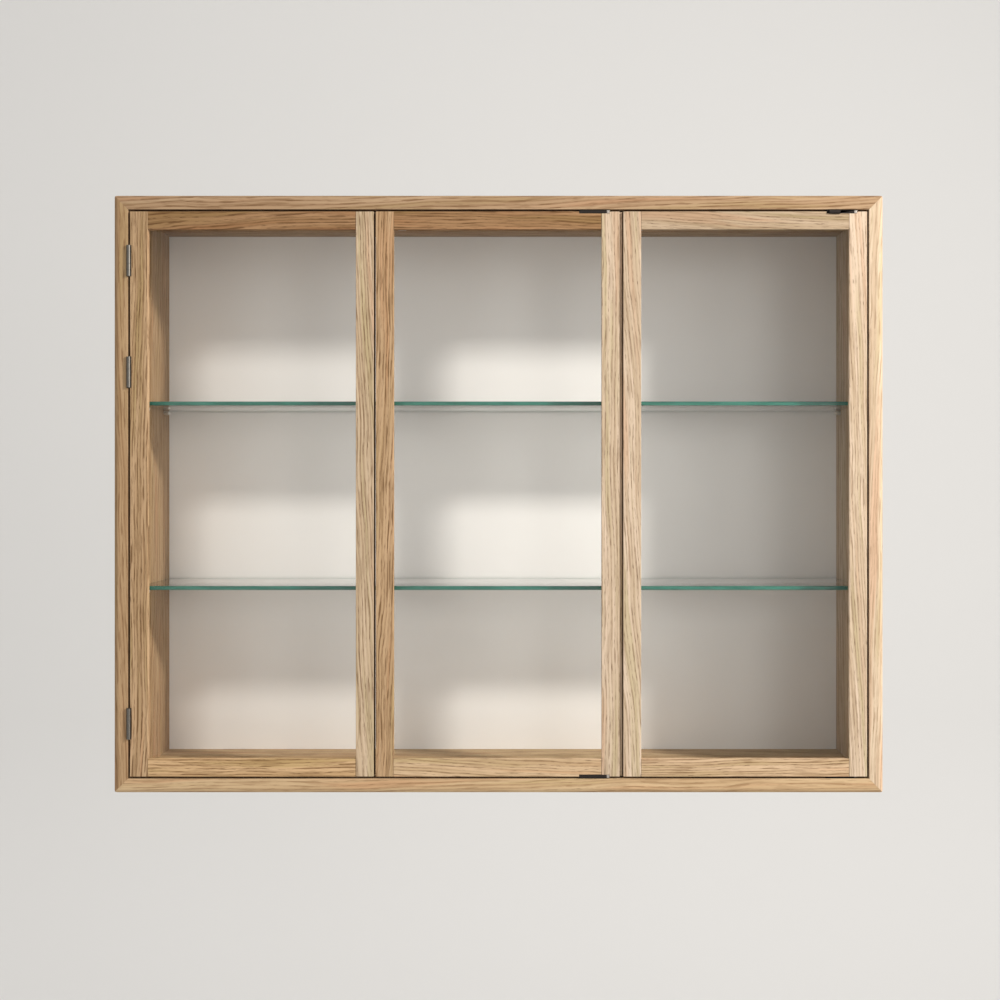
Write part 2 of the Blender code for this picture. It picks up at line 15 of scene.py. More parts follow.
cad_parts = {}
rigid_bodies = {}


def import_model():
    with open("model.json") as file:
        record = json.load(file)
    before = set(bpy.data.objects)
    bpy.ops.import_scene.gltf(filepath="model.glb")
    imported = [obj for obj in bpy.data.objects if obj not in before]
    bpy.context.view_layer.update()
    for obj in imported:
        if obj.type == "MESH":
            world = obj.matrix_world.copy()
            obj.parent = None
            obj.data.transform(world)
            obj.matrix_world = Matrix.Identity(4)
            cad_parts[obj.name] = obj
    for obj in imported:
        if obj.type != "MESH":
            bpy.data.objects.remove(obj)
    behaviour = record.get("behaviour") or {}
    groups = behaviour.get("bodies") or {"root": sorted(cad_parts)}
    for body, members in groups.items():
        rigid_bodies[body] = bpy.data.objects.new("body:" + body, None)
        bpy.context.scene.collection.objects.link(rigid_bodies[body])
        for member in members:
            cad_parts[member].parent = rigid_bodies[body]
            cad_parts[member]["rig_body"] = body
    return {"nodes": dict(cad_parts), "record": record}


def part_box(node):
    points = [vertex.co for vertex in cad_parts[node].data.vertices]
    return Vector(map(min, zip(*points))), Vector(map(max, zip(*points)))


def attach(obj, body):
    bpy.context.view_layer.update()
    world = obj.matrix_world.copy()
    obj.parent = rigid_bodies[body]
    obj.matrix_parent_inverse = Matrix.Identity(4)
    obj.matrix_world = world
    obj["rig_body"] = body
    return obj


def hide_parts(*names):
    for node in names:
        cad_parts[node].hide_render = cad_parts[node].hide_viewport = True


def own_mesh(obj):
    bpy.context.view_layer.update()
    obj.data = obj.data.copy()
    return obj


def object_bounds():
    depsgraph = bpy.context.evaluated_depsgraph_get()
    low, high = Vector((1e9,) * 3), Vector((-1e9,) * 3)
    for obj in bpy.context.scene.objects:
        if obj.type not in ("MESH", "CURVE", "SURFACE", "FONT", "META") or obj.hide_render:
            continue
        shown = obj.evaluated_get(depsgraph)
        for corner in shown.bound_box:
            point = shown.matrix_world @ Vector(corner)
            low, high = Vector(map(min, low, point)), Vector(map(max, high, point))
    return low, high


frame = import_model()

CAD_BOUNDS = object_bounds()
MM = 0.001
DOORS = ("left_door", "middle_door", "right_door")
HINGES = ("top_hinge", "second_hinge", "bottom_hinge")


# Node trees


class Tree:
    """Short names for the nodes of one material."""

    def __init__(self, name):
        self.material = bpy.data.materials.new(name)
        self.material.use_nodes = True
        self.nodes = self.material.node_tree.nodes
        self.links = self.material.node_tree.links
        self.nodes.clear()

    def put(self, socket, value):
        if isinstance(value, bpy.types.NodeSocket):
            self.links.new(value, socket)
        else:
            socket.default_value = value

    def node(self, kind, inputs=(), **settings):
        made = self.nodes.new("ShaderNode" + kind)
        for key, value in settings.items():
            setattr(made, key, value)
        for key, value in dict(inputs).items():
            self.put(made.inputs[key], value)
        return made

    def math(self, operation, a, b=0.0):
        made = self.node("Math", operation=operation)
        self.put(made.inputs[0], a)
        self.put(made.inputs[1], b)
        return made.outputs[0]

    def vector(self, x, y, z):
        return self.node("CombineXYZ", {"X": x, "Y": y, "Z": z}).outputs[0]

    def stretched(self, axes, scales, offset=0.0):
        """Coordinates scaled by their own factor along each axis."""
        scaled = [self.math("MULTIPLY_ADD", axis, scale) for axis, scale in zip(axes, scales)]
        for value in scaled:
            value.node.inputs[2].default_value = offset
        return self.vector(*scaled)

    def noise(self, vector, detail=2.0, roughness=0.5):
        inputs = {"Vector": vector, "Scale": 1.0, "Detail": detail, "Roughness": roughness}
        return self.node("TexNoise", inputs).outputs["Fac"]

    def fit(self, value, low, high, to_low=0.0, to_high=1.0):
        """A smooth step from to_low, where the value is low, to to_high, where it is high."""
        inputs = {"Value": value, "From Min": low, "From Max": high, "To Min": to_low, "To Max": to_high}
        return self.node("MapRange", inputs, interpolation_type="SMOOTHSTEP").outputs[0]

    def mix(self, factor, a, b):
        made = self.node("Mix", data_type="RGBA", blend_type="MIX")
        self.put(made.inputs[0], factor)
        for socket, value in ((made.inputs[6], a), (made.inputs[7], b)):
            self.put(socket, (*value, 1.0) if isinstance(value, tuple) else value)
        return made.outputs[2]

    def bump(self, height, distance, strength=1.0):
        inputs = {"Height": height, "Distance": distance, "Strength": strength}
        return self.node("Bump", inputs).outputs[0]

    def finish(self, shader):
        output = self.node("OutputMaterial")
        self.links.new(shader, output.inputs["Surface"])
        return self.material

    def principled(self, inputs):
        return self.finish(self.node("BsdfPrincipled", inputs).outputs[0])

    def object_axes(self):
        coords = self.node("TexCoord").outputs["Object"]
        split = self.node("SeparateXYZ", {"Vector": coords})
        return [split.outputs[i] for i in range(3)]


# Finishes

MOST_SLOPE = 0.06  # of the grain against the board's length
SLOW_WAVE, QUICK_WAVE = 20 * MM, 8.5 * MM
HALF_DEPTH = 110 * MM  # of the case
RUBBED_REACH, PORE_DEPTH = 1.3 * MM, 0.14 * MM
MATT = 0.94  # the wood's roughness, before fibres and pores raise it and rubbed edges lower it


def arris(t, axes, low, high, reach):
    """1 on the edges of a box and 0 away from them. The middle of the distances to its faces decides."""
    gaps = []
    for axis, start, end in zip(axes, low, high):
        gaps.append(t.math("MINIMUM", t.math("SUBTRACT", axis, start), t.math("SUBTRACT", end, axis)))
    nearest = t.math("MINIMUM", gaps[0], gaps[1])
    furthest = t.math("MAXIMUM", gaps[0], gaps[1])
    between = t.math("MAXIMUM", nearest, t.math("MINIMUM", furthest, gaps[2]))
    nibble = t.noise(t.stretched(axes, (170, 170, 170), 2.0), 3.0, 0.7)
    between = t.math("ADD", between, t.math("MULTIPLY", nibble, reach))
    return t.fit(between, reach * 0.35, reach * 1.3, 1.0, 0.0)


# In the functions for wood, a noise's three scales run along the grain, across it and into the board.


def board_axes(t, axes, grain, chance):
    """Along the grain, across it and into the board, bent by the grain's waves. Also the noises' shift."""
    x, y, z = axes
    along, across, depth = {"X": (x, z, y), "Z": (z, x, y)}[grain]
    shift = chance.uniform(3, 90)
    along = t.math("ADD", along, chance.uniform(-2, 2))
    slope = chance.uniform(-MOST_SLOPE, MOST_SLOPE)
    slow = t.noise(t.stretched((along, across, depth), (2.4, 12, 12), shift), 1.0)
    quick = t.noise(t.stretched((along, across, depth), (9, 34, 34), shift + 5), 1.0)
    wave = t.math("MULTIPLY", t.math("SUBTRACT", slow, 0.5), SLOW_WAVE)
    wave = t.math("ADD", wave, t.math("MULTIPLY", t.math("SUBTRACT", quick, 0.5), QUICK_WAVE))
    wave = t.math("ADD", wave, t.math("MULTIPLY", along, slope))
    return (along, t.math("ADD", across, wave), depth), shift


def early_wood(t, place, shift, ring, chance):
    """1 in the open part of each yearly ring and 0 in its dense part. The heart lies outside the board."""
    across, depth = place[1:]
    angle = chance.uniform(0.25, 1.30)
    heart = chance.uniform(0.10, 0.20)
    u = t.math("ADD", across, heart * math.cos(angle))
    v = t.math("ADD", depth, heart * math.sin(angle) + HALF_DEPTH)
    radius = t.math("SQRT", t.math("ADD", t.math("POWER", u, 2.0), t.math("POWER", v, 2.0)))
    uneven = t.noise(t.stretched(place, (4, 110, 110), shift + 13), 2.0)
    radius = t.math("ADD", radius, t.math("MULTIPLY", uneven, 1.1 * ring))
    phase = t.math("FRACT", t.math("DIVIDE", radius, ring))
    early = t.math("SUBTRACT", 1.0, t.fit(phase, 0.10, 0.68))
    return t.math("MULTIPLY", early, t.fit(phase, 0.0, 0.06))


def open_pores(t, place, shift, early, pores):
    """Short pits along the grain, most of them in the early wood."""
    pit = t.noise(t.stretched(place, (110, 1900, 1900), shift + 57), 1.0, 0.4)
    pit = t.math("MULTIPLY", t.fit(pit, 0.585, 0.66), t.fit(early, 0.1, 0.7, 0.12, 1.0))
    return t.math("MULTIPLY", pit, pores)


def dark_lines(t, place, shift, early, broad, streaks):
    """Streaks along the grain, and the rings where they stand out."""
    streak = t.noise(t.stretched(place, (26, 430, 430), shift + 19), 2.0, 0.55)
    line = t.math("MULTIPLY", t.fit(streak, 0.50, 0.60), t.fit(early, 0.0, 0.8, 0.45, 1.0))
    ringed = t.math("MULTIPLY", early, t.fit(broad, 0.38, 0.56, 0.35, 1.0))
    line = t.math("MAXIMUM", line, t.math("MULTIPLY", ringed, 0.55))
    return t.math("MULTIPLY", line, streaks)


def clear_wood(t, pale, middle, broad, fibre, hue):
    """The ground colour between the lines, which drifts to rose and to olive."""
    tone = t.math("MULTIPLY", t.fit(broad, 0.32, 0.68), 0.75)
    tone = t.math("ADD", tone, t.math("MULTIPLY", fibre, 0.25))
    colour = t.mix(tone, pale, middle)
    rose = tuple(c * k for c, k in zip(middle, (1.16, 1.0, 0.98)))
    olive = tuple(c * k for c, k in zip(middle, (0.93, 1.02, 0.86)))
    colour = t.mix(t.fit(hue, 0.53, 0.68, 0.0, 0.62), colour, rose)
    return t.mix(t.fit(hue, 0.46, 0.32, 0.0, 0.55), colour, olive)


def wood(name, grain, seed, tones, corners, ring=3.2 * MM, pores=1.0, streaks=1.0):
    """Solid timber. Rings, streaks and pores run along the grain axis, so edges and end grain agree."""
    pale, middle, dark, pore = tones
    chance = random.Random(seed)
    t = Tree(name)
    axes = t.object_axes()
    place, shift = board_axes(t, axes, grain, chance)
    early = early_wood(t, place, shift, ring, chance)
    broad = t.noise(t.stretched(place, (4, 150, 150), shift + 7), 2.0, 0.55)
    hue = t.noise(t.stretched(place, (3.5, 95, 95), shift + 43), 2.0)
    fibre = t.noise(t.stretched(place, (45, 1500, 1500), shift + 31), 2.0, 0.6)
    pit = open_pores(t, place, shift, early, pores)
    line = dark_lines(t, place, shift, early, broad, streaks)

    colour = clear_wood(t, pale, middle, broad, fibre, hue)
    colour = t.mix(t.math("MULTIPLY", line, 0.85), colour, dark)
    colour = t.mix(t.math("MULTIPLY", pit, 0.7), colour, pore)
    rubbed = arris(t, axes, *corners, RUBBED_REACH)
    colour = t.mix(t.math("MULTIPLY", rubbed, 0.2), colour, tuple(min(1.0, c * 1.16) for c in pale))

    height = t.math("SUBTRACT", t.math("MULTIPLY", fibre, 0.4), pit)
    height = t.math("SUBTRACT", height, t.math("MULTIPLY", line, 0.6))
    rough = t.math("ADD", t.math("MULTIPLY", fibre, 0.12), t.math("MULTIPLY", pit, 0.2))
    rough = t.math("ADD", rough, t.math("MULTIPLY", rubbed, -0.08))
    rough = t.math("ADD", rough, MATT)
    normal = t.bump(height, PORE_DEPTH, 0.75)
    inputs = {"Base Color": colour, "Roughness": rough, "Normal": normal, "Specular IOR Level": 0.2}
    return t.principled(inputs)


# Pale, middle, dark and pore colours
CARCASS_OAK = ((0.51, 0.365, 0.225), (0.41, 0.27, 0.155), (0.24, 0.14, 0.07), (0.17, 0.095, 0.045))
DOOR_OAK = ((0.57, 0.41, 0.265), (0.43, 0.295, 0.17), (0.19, 0.11, 0.052), (0.12, 0.065, 0.03))
SOFTWOOD = ((0.74, 0.58, 0.37), (0.66, 0.47, 0.26), (0.50, 0.31, 0.15), (0.42, 0.26, 0.12))

# Each slot's palette, its figure and the radius of its boards' eased edges
TIMBER = {
    "carcass_oak": (CARCASS_OAK, {"pores": 0.6, "ring": 4.4 * MM, "streaks": 0.8}, 0.35 * MM),
    "door_oak": (DOOR_OAK, {"ring": 3.7 * MM}, 0.55 * MM),
    "softwood": (SOFTWOOD, {"pores": 0.0, "ring": 5.0 * MM, "streaks": 0.8}, 1.0 * MM),
}

# Each tone's tint, and how strongly its figure shows. The tints are partly the boards' own tone and partly
# painted light and shade: the upper and left boards are mostly darkened as painted shade, the right-hand
# boards and the case's bottom lightened as painted light.
TONE_AND_PAINTED_LIGHT_TINTS = {
    "deep": ((0.59, 0.48, 0.38), 1.0),
    "brown": ((0.81, 0.78, 0.77), 1.5),
    "warm": ((0.85, 0.80, 0.73), 1.15),
    "dusty": ((0.78, 0.82, 0.88), 0.6),
    "golden": ((1.02, 0.95, 0.82), 1.0),
    "calm": ((1.0, 1.0, 0.97), 0.7),
    "ashen": ((1.0, 1.07, 1.17), 1.0),
    "light": ((1.08, 1.10, 1.06), 1.1),
    "pale": ((1.05, 1.15, 1.34), 0.72),
    "palest": ((1.14, 1.27, 1.48), 1.0),
}
BOARDS_BY_TONE_AND_PAINTED_LIGHT = {
    "deep": ("left_door_top_rail", "middle_door_top_rail"),
    "brown": ("carcass_top",),
    "warm": ("left_door_left_stile", "middle_door_left_stile", "carcass_left_side"),
    "dusty": ("right_door_top_rail",),
    "golden": ("left_door_bottom_rail",),
    "calm": ("middle_door_bottom_rail",),
    "ashen": ("left_door_right_stile",),
    "light": ("carcass_bottom",),
    "pale": ("middle_door_right_stile", "right_door_left_stile", "right_door_right_stile"),
    "palest": ("carcass_right_side",),
}


def lacquer():
    """Matt off-white lacquer over board, with a faint roller texture."""
    t = Tree("white_lacquer")
    axes = t.object_axes()
    peel = t.noise(t.stretched(axes, (900, 900, 900)), 2.0)
    cloud = t.noise(t.stretched(axes, (7, 7, 7), 3.1), 2.0)
    colour = t.mix(cloud, (0.855, 0.825, 0.80), (0.895, 0.87, 0.85))
    rough = t.fit(peel, 0.3, 0.7, 0.52, 0.64)
    return t.principled({"Base Color": colour, "Roughness": rough, "Normal": t.bump(peel, 0.04 * MM, 0.5)})


def fibreboard():
    """The bare back of the white panel: pressed brown fibres."""
    t = Tree("bare_fibreboard")
    axes = t.object_axes()
    felt = t.noise(t.stretched(axes, (420, 420, 420)), 4.0, 0.7)
    cloud = t.noise(t.stretched(axes, (26, 26, 26), 5.0), 4.0)
    tone = t.math("ADD", t.math("MULTIPLY", felt, 0.85), t.math("MULTIPLY", cloud, 0.2))
    colour = t.mix(t.fit(tone, 0.35, 0.75), (0.36, 0.24, 0.14), (0.52, 0.38, 0.24))
    return t.principled({"Base Color": colour, "Roughness": 0.85, "Normal": t.bump(felt, 0.15 * MM, 0.8)})


def pane_glass():
    """Thin coated glass: what lies behind shows straight through, with a faint mirror-like sheen over it."""
    t = Tree("pane_glass")
    axes = t.object_axes()
    smear = t.noise(t.stretched(axes, (9, 9, 16), 2.0), 3.0, 0.6)
    clear = t.node("BsdfTransparent", {"Color": (0.984, 0.988, 0.983, 1.0)}).outputs[0]
    rough = t.fit(smear, 0.3, 0.8, 0.0, 0.05)
    shine = t.node("BsdfGlossy", {"Color": (1, 1, 1, 1), "Roughness": rough}).outputs[0]
    facing = t.node("LayerWeight", {"Blend": 0.5}).outputs["Facing"]
    share = t.math("MULTIPLY_ADD", t.math("POWER", facing, 5.0), 0.96)
    share.node.inputs[2].default_value = 0.018  # what a coated face reflects head on
    mixed = t.node("MixShader", {0: share, 1: clear, 2: shine}).outputs[0]
    return t.finish(mixed)


def shelf_body():
    """Float glass seen through its polished faces."""
    t = Tree("shelf_glass")
    axes = t.object_axes()
    smear = t.noise(t.stretched(axes, (14, 20, 14), 6.0), 3.0, 0.6)
    rough = t.fit(smear, 0.35, 0.8, 0.0, 0.04)
    inputs = {"Base Color": (0.98, 0.99, 0.985, 1), "Roughness": rough, "IOR": 1.52}
    return t.principled(inputs | {"Transmission Weight": 1.0})


def shelf_edge():
    """The ground edge of float glass, green because light has crossed the whole sheet to reach it."""
    t = Tree("shelf_edge_green")
    axes = t.object_axes()
    along = t.noise(t.stretched(axes, (22, 40, 260), 4.0), 2.0)
    grind = t.noise(t.stretched(axes, (300, 2600, 2600), 9.0), 2.0)
    colour = t.mix(t.fit(along, 0.3, 0.7), (0.020, 0.132, 0.094), (0.042, 0.198, 0.148))
    rough = t.fit(grind, 0.3, 0.7, 0.12, 0.24)
    inputs = {"Base Color": colour, "Roughness": rough, "Transmission Weight": 0.12, "Coat Weight": 0.05}
    return t.principled(inputs)


def metal(name, colour, rough, metallic, brush, speck=0.0, specular=0.5):
    """Plated or blackened metal with fine brushing. brush scales the marks along X, Y and Z."""
    t = Tree(name)
    axes = t.object_axes()
    marks = t.noise(t.stretched(axes, brush), 3.0, 0.65)
    cloud = t.noise(t.stretched(axes, (160, 160, 160), 8.0), 3.0)
    worn = tuple(min(1.0, c * 1.35 + 0.02) for c in colour)
    base = t.mix(t.fit(marks, 0.25, 0.8), colour, worn)
    base = t.mix(t.fit(cloud, 0.55, 0.8, 0.0, 0.5 + speck), base, tuple(c * 0.72 for c in colour))
    roughness = t.math("ADD", t.fit(marks, 0.3, 0.7, -0.06, 0.08), rough)
    normal = t.bump(marks, 0.02 * MM, 0.6)
    inputs = {"Base Color": base, "Roughness": roughness, "Metallic": metallic, "Normal": normal}
    return t.principled(inputs | {"Specular IOR Level": specular})


def moulded(name, colour):
    """Moulded plastic with a fine spark-eroded grain."""
    t = Tree(name)
    axes = t.object_axes()
    grain = t.noise(t.stretched(axes, (2600, 2600, 2600)), 2.0, 0.6)
    cloud = t.noise(t.stretched(axes, (60, 60, 60), 4.0), 2.0)
    base = t.mix(cloud, colour, tuple(c * 1.18 for c in colour))
    rough = t.fit(grain, 0.3, 0.7, 0.42, 0.58)
    return t.principled({"Base Color": base, "Roughness": rough, "Normal": t.bump(grain, 0.03 * MM, 0.6)})


def pile():
    """Dark brown pile, whose tufts are drawn out along Z. Its dark brown partly paints the shade in the seam
    it fills.
    """
    t = Tree("brown_pile_seam_shade")
    axes = t.object_axes()
    tufts = t.noise(t.stretched(axes, (1900, 1900, 420)), 3.0, 0.7)
    colour = t.mix(t.fit(tufts, 0.3, 0.7), (0.060, 0.034, 0.019), (0.135, 0.080, 0.046))
    inputs = {"Base Color": colour, "Roughness": 0.9, "Sheen Weight": 0.3}
    return t.principled(inputs | {"Normal": t.bump(tufts, 0.12 * MM, 0.9)})


def arm_with_bare_tip(name, start):
    """Black steel whose right end, from start on, is lighter bare metal."""
    t = Tree(name)
    axes = t.object_axes()
    marks = t.noise(t.stretched(axes, (120, 1600, 1600)), 3.0, 0.65)
    wander = t.noise(t.stretched(axes, (700, 700, 700)), 3.0)
    edge = t.math("ADD", axes[0], t.math("MULTIPLY", wander, 2.5 * MM))
    bare = t.fit(edge, start, start + 1.2 * MM)
    black = t.mix(marks, (0.013, 0.009, 0.007), (0.024, 0.019, 0.016))
    colour = t.mix(bare, black, (0.52, 0.47, 0.42))
    inputs = {"Base Color": colour, "Metallic": t.math("MULTIPLY", bare, 0.9)}
    inputs |= {"Roughness": t.fit(bare, 0, 1, 0.6, 0.36), "Specular IOR Level": 0.15}
    return t.principled(inputs | {"Normal": t.bump(marks, 0.02 * MM, 0.6)})


NICKEL = metal("satin_nickel", (0.135, 0.125, 0.11), 0.46, 1.0, (1500, 1500, 90))
BLACK = metal("black_steel", (0.013, 0.009, 0.007), 0.60, 0.0, (120, 1600, 1600), 0.2, 0.15)
ZINC = metal("zinc_screw", (0.62, 0.62, 0.60), 0.34, 1.0, (900, 900, 900))
RECESS_SHADOW = metal("screw_recess", (0.05, 0.05, 0.048), 0.6, 0.6, (700, 700, 700))
SPRING_STEEL = metal("spring_steel", (0.36, 0.36, 0.37), 0.28, 1.0, (700, 700, 700))
PLASTIC = moulded("grey_latch_plastic", (0.30, 0.30, 0.295))
PANE = pane_glass()


# Shapes

WELD = 1e-6  # metres
FLAT, CREASE = math.radians(0.3), math.radians(40)
PARALLEL = 0.999  # least cosine


def finished(name, bm, materials, body, stands_for=(), sharp=35):
    """Makes a piece from a mesh in the object's frame, shades it and lets it ride on its body."""
    mesh = bpy.data.meshes.new(name)
    bm.to_mesh(mesh)
    bm.free()
    for material in materials:
        mesh.materials.append(material)
    piece = bpy.data.objects.new(name, mesh)
    bpy.context.scene.collection.objects.link(piece)
    mesh.shade_smooth()
    mesh.set_sharp_from_angle(angle=math.radians(sharp))
    even = piece.modifiers.new("even_shading", "WEIGHTED_NORMAL")
    even.keep_sharp = True
    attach(piece, body)
    if stands_for:
        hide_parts(*stands_for)
    return piece


def body_of(node):
    return frame["nodes"][node]["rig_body"]


def slot_of(node):
    return next(s["material_slot"] for s in frame["record"]["subparts"] if s["node"] == node)


def outer_edge(edge, long_edges, shortest):
    """Whether an edge is a sharp outer one, long enough, and along the wanted axis if there is one."""
    if len(edge.link_faces) != 2 or not edge.is_convex or edge.calc_length() < shortest:
        return False
    if edge.calc_face_angle() < CREASE:
        return False
    run = (edge.verts[1].co - edge.verts[0].co).normalized()
    return not long_edges or abs(run["XYZ".index(long_edges)]) >= PARALLEL


def eased(node, material, radius=0.0, long_edges="", steps=3, shortest=12 * MM, paint=None, extra=()):
    """A copy of a CAD node with its outer edges rounded over. long_edges keeps to edges along that axis."""
    bm = bmesh.new()
    bm.from_mesh(frame["nodes"][node].data)
    bmesh.ops.remove_doubles(bm, verts=bm.verts, dist=WELD)
    bmesh.ops.dissolve_limit(bm, angle_limit=FLAT, verts=bm.verts, edges=bm.edges)
    if radius:
        chosen = [edge for edge in bm.edges if outer_edge(edge, long_edges, shortest)]
        shape = {"offset": radius, "offset_type": "OFFSET", "segments": steps, "profile": 0.5}
        bmesh.ops.bevel(bm, geom=chosen, affect="EDGES", **shape)
    if paint:
        for face in bm.faces:
            face.material_index = paint(face)
    name = f"{node}_finished"
    return finished(name, bm, [material, *extra], body_of(node), [node])


def skin(bm, near, far):
    """Joins two closed loops of points, which may differ in count, with triangles."""
    n, m = len(near), len(far)
    i = j = 0
    while i < n or j < m:
        if j == m or (i < n and (i + 1) * m <= (j + 1) * n):
            bm.faces.new((near[i % n], near[(i + 1) % n], far[j % m]))
            i += 1
        else:
            bm.faces.new((near[i % n], far[(j + 1) % m], far[j % m]))
            j += 1


def close_tube(bm, loops):
    """Joins loops of points in their order and caps both ends. Returns the first cap."""
    for near, far in zip(loops, loops[1:]):
        skin(bm, near, far)
    first = bm.faces.new(loops[0])
    bm.faces.new(loops[-1])
    return first


# Timber

BOARD_SEED, BEAD_SEED = 11, 301
MITRE_REACH, MITRE_GROWTH = 25 * MM, 0.17 * MM
BEAD_SETBACK = 3 * MM  # from the door frame's inner edge
BEAD_CHAMFER, BEAD_MITRE_GAP = 1.6 * MM, 0.06 * MM
SEAL_SETBACK, SEAL_BACK_GAP, SEAL_END_GAP = 5.5 * MM, 2 * MM, 0.5 * MM  # from the stile's faces
SEAL_CLEARANCE, UNEVEN_TIPS = 0.45 * MM, 0.12 * MM  # from the right door
SEAL_ROOT, SEAL_CHAMFER, SEAL_SHOULDER, SEAL_ROWS = 0.2 * MM, 0.2 * MM, 0.5 * MM, 260


def tone_and_painted_light(node):
    for tone, boards in BOARDS_BY_TONE_AND_PAINTED_LIGHT.items():
        if node in boards:
            return TONE_AND_PAINTED_LIGHT_TINTS[tone]
    return (1, 1, 1), 1.0


def timber():
    """Each board gets its own piece of the tree, by its seed, and its own tint: partly its tone, partly
    painted light and shade.
    """
    nodes = sorted(n for n in frame["nodes"] if slot_of(n) in TIMBER)
    for number, node in enumerate(nodes):
        if node.endswith("_glazing_bead"):
            continue
        low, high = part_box(node)
        size = high - low
        grain = "X" if size.x > size.z else "Z"
        tones, settings, radius = TIMBER[slot_of(node)]
        tint, figure = tone_and_painted_light(node)
        # The tint darkens or lightens the board's colours, partly as painted shade and painted light.
        tones = [tuple(c * k for c, k in zip(tone, tint)) for tone in tones]
        settings = settings | {"streaks": settings.get("streaks", 1.0) * figure}
        seed = BOARD_SEED + 7 * number
        material = wood(f"{node}_timber", grain, seed, tones, (low, high), **settings)
        ends_show = node.endswith("_stile") or slot_of(node) == "softwood"
        piece = eased(node, material, radius, "" if ends_show else grain)
        if node.startswith("carcass_"):
            close_mitres(piece, grain, low, high)


def close_mitres(piece, grain, low, high):
    """Glued mitres have no gap: each end of the board grows by what the solid model leaves free."""
    axis = "XYZ".index(grain)
    for vertex in piece.data.vertices:
        for end, sign in ((low, -1), (high, 1)):
            if abs(vertex.co[axis] - end[axis]) < MITRE_REACH:
                vertex.co[axis] += sign * MITRE_GROWTH


def bead_strip(section, centre, out, run, reach, length):
    """One strip of a bead with mitred ends. section lists (distance inward from the outline, y)."""
    bm = bmesh.new()
    loops = []
    for sign in (-1, 1):
        points = []
        for inward, y in section:
            end = sign * (length - inward - BEAD_MITRE_GAP)
            point = centre + out * (reach - inward) + run * end
            points.append(bm.verts.new((point.x, y, point.z)))
        loops.append(points)
    count = len(section)
    for i in range(count):
        j = (i + 1) % count
        bm.faces.new((loops[0][i], loops[0][j], loops[1][j], loops[1][i]))
    bm.faces.new(reversed(loops[0]))
    bm.faces.new(loops[1])
    bmesh.ops.recalc_face_normals(bm, faces=bm.faces)
    return bm


def glazing_beads():
    """Four mitred strips a door, each with a chamfer on its inner back edge."""
    right, up = Vector((1, 0, 0)), Vector((0, 0, 1))
    for number, door in enumerate(DOORS):
        node = f"{door}_glazing_bead"
        low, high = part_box(node)
        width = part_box(f"{door}_left_stile")[1].x - BEAD_SETBACK - low.x
        section = [(0, low.y), (width, low.y), (width, high.y - BEAD_CHAMFER)]
        section += [(width - BEAD_CHAMFER, high.y), (0, high.y)]
        centre = (low + high) / 2
        half = (high - low) / 2
        sides = {
            "left": (-right, up, half.x, half.z, "Z"),
            "right": (right, up, half.x, half.z, "Z"),
            "top": (up, right, half.z, half.x, "X"),
            "bottom": (-up, right, half.z, half.x, "X"),
        }
        for place, (out, run, reach, length, grain) in sides.items():
            bm = bead_strip(section, centre, out, run, reach, length)
            seed = BEAD_SEED + 17 * number + len(place)
            material = wood(f"{door}_{place}_bead_timber", grain, seed, DOOR_OAK, (low, high))
            stands_for = [node] if place == "left" else []
            finished(f"{door}_{place}_bead", bm, [material], door, stands_for)


def meeting_seal():
    """A dust strip of pile on the middle door's lip, dark partly as painted shade of the seam. It closes the
    gap but stops short of the right door.
    """
    low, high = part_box("middle_door_right_stile")
    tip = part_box("right_door_left_stile")[0].x - SEAL_CLEARANCE
    root = high.x - SEAL_ROOT
    front, back = low.y + SEAL_SETBACK, high.y - SEAL_BACK_GAP
    length = high.z - low.z - 2 * SEAL_END_GAP
    chance = random.Random("meeting_seal")
    bm = bmesh.new()
    loops = []
    for i in range(SEAL_ROWS + 1):
        z = low.z + SEAL_END_GAP + length * i / SEAL_ROWS
        reach = tip - chance.uniform(0, UNEVEN_TIPS)
        section = [(root, front), (reach - SEAL_CHAMFER, front), (reach, front + SEAL_SHOULDER)]
        section += [(reach, back - SEAL_SHOULDER), (reach - SEAL_CHAMFER, back), (root, back)]
        loops.append([bm.verts.new((x, y, z)) for x, y in section])
    close_tube(bm, loops)
    bmesh.ops.recalc_face_normals(bm, faces=bm.faces)
    finished("middle_door_meeting_seal", bm, [pile()], "middle_door")


# Panels and glass


def back_panel():
    white, bare = lacquer(), fibreboard()
    eased("back_panel", white, paint=lambda face: 1 if face.normal.y > 0.5 else 0, extra=[bare])


def on_the_rim(face):
    """1 on a shelf's four edges and 0 on its broad faces."""
    return 0 if abs(face.normal.z) > 0.9 else 1


def glass():
    for door in DOORS:
        piece = frame["nodes"][f"{door}_glass"]
        piece.data.materials.clear()
        piece.data.materials.append(PANE)
    body, edge = shelf_body(), shelf_edge()
    for level in ("upper_shelf", "lower_shelf"):
        eased(level, body, 0.5 * MM, steps=2, paint=on_the_rim, extra=[edge])


# Fittings

BARE_TIP = 2.2 * MM  # of a pivot's arm


def fittings():
    for node in sorted(frame["nodes"]):
        slot = slot_of(node)
        if slot == "satin_nickel":
            turned_pin = node.endswith(("_front_pin", "_back_pin"))
            eased(node, ZINC if turned_pin else NICKEL)
        elif slot == "black_steel":
            bare_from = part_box(node)[1].x - BARE_TIP
            steel = arm_with_bare_tip(f"{node}_steel", bare_from) if node.endswith("_arm") else BLACK
            eased(node, steel, 0.35 * MM, steps=2, shortest=3 * MM)
        elif slot == "grey_plastic":
            eased(node, PLASTIC, 0.9 * MM, shortest=5 * MM)


# Small fittings that the solid model leaves out

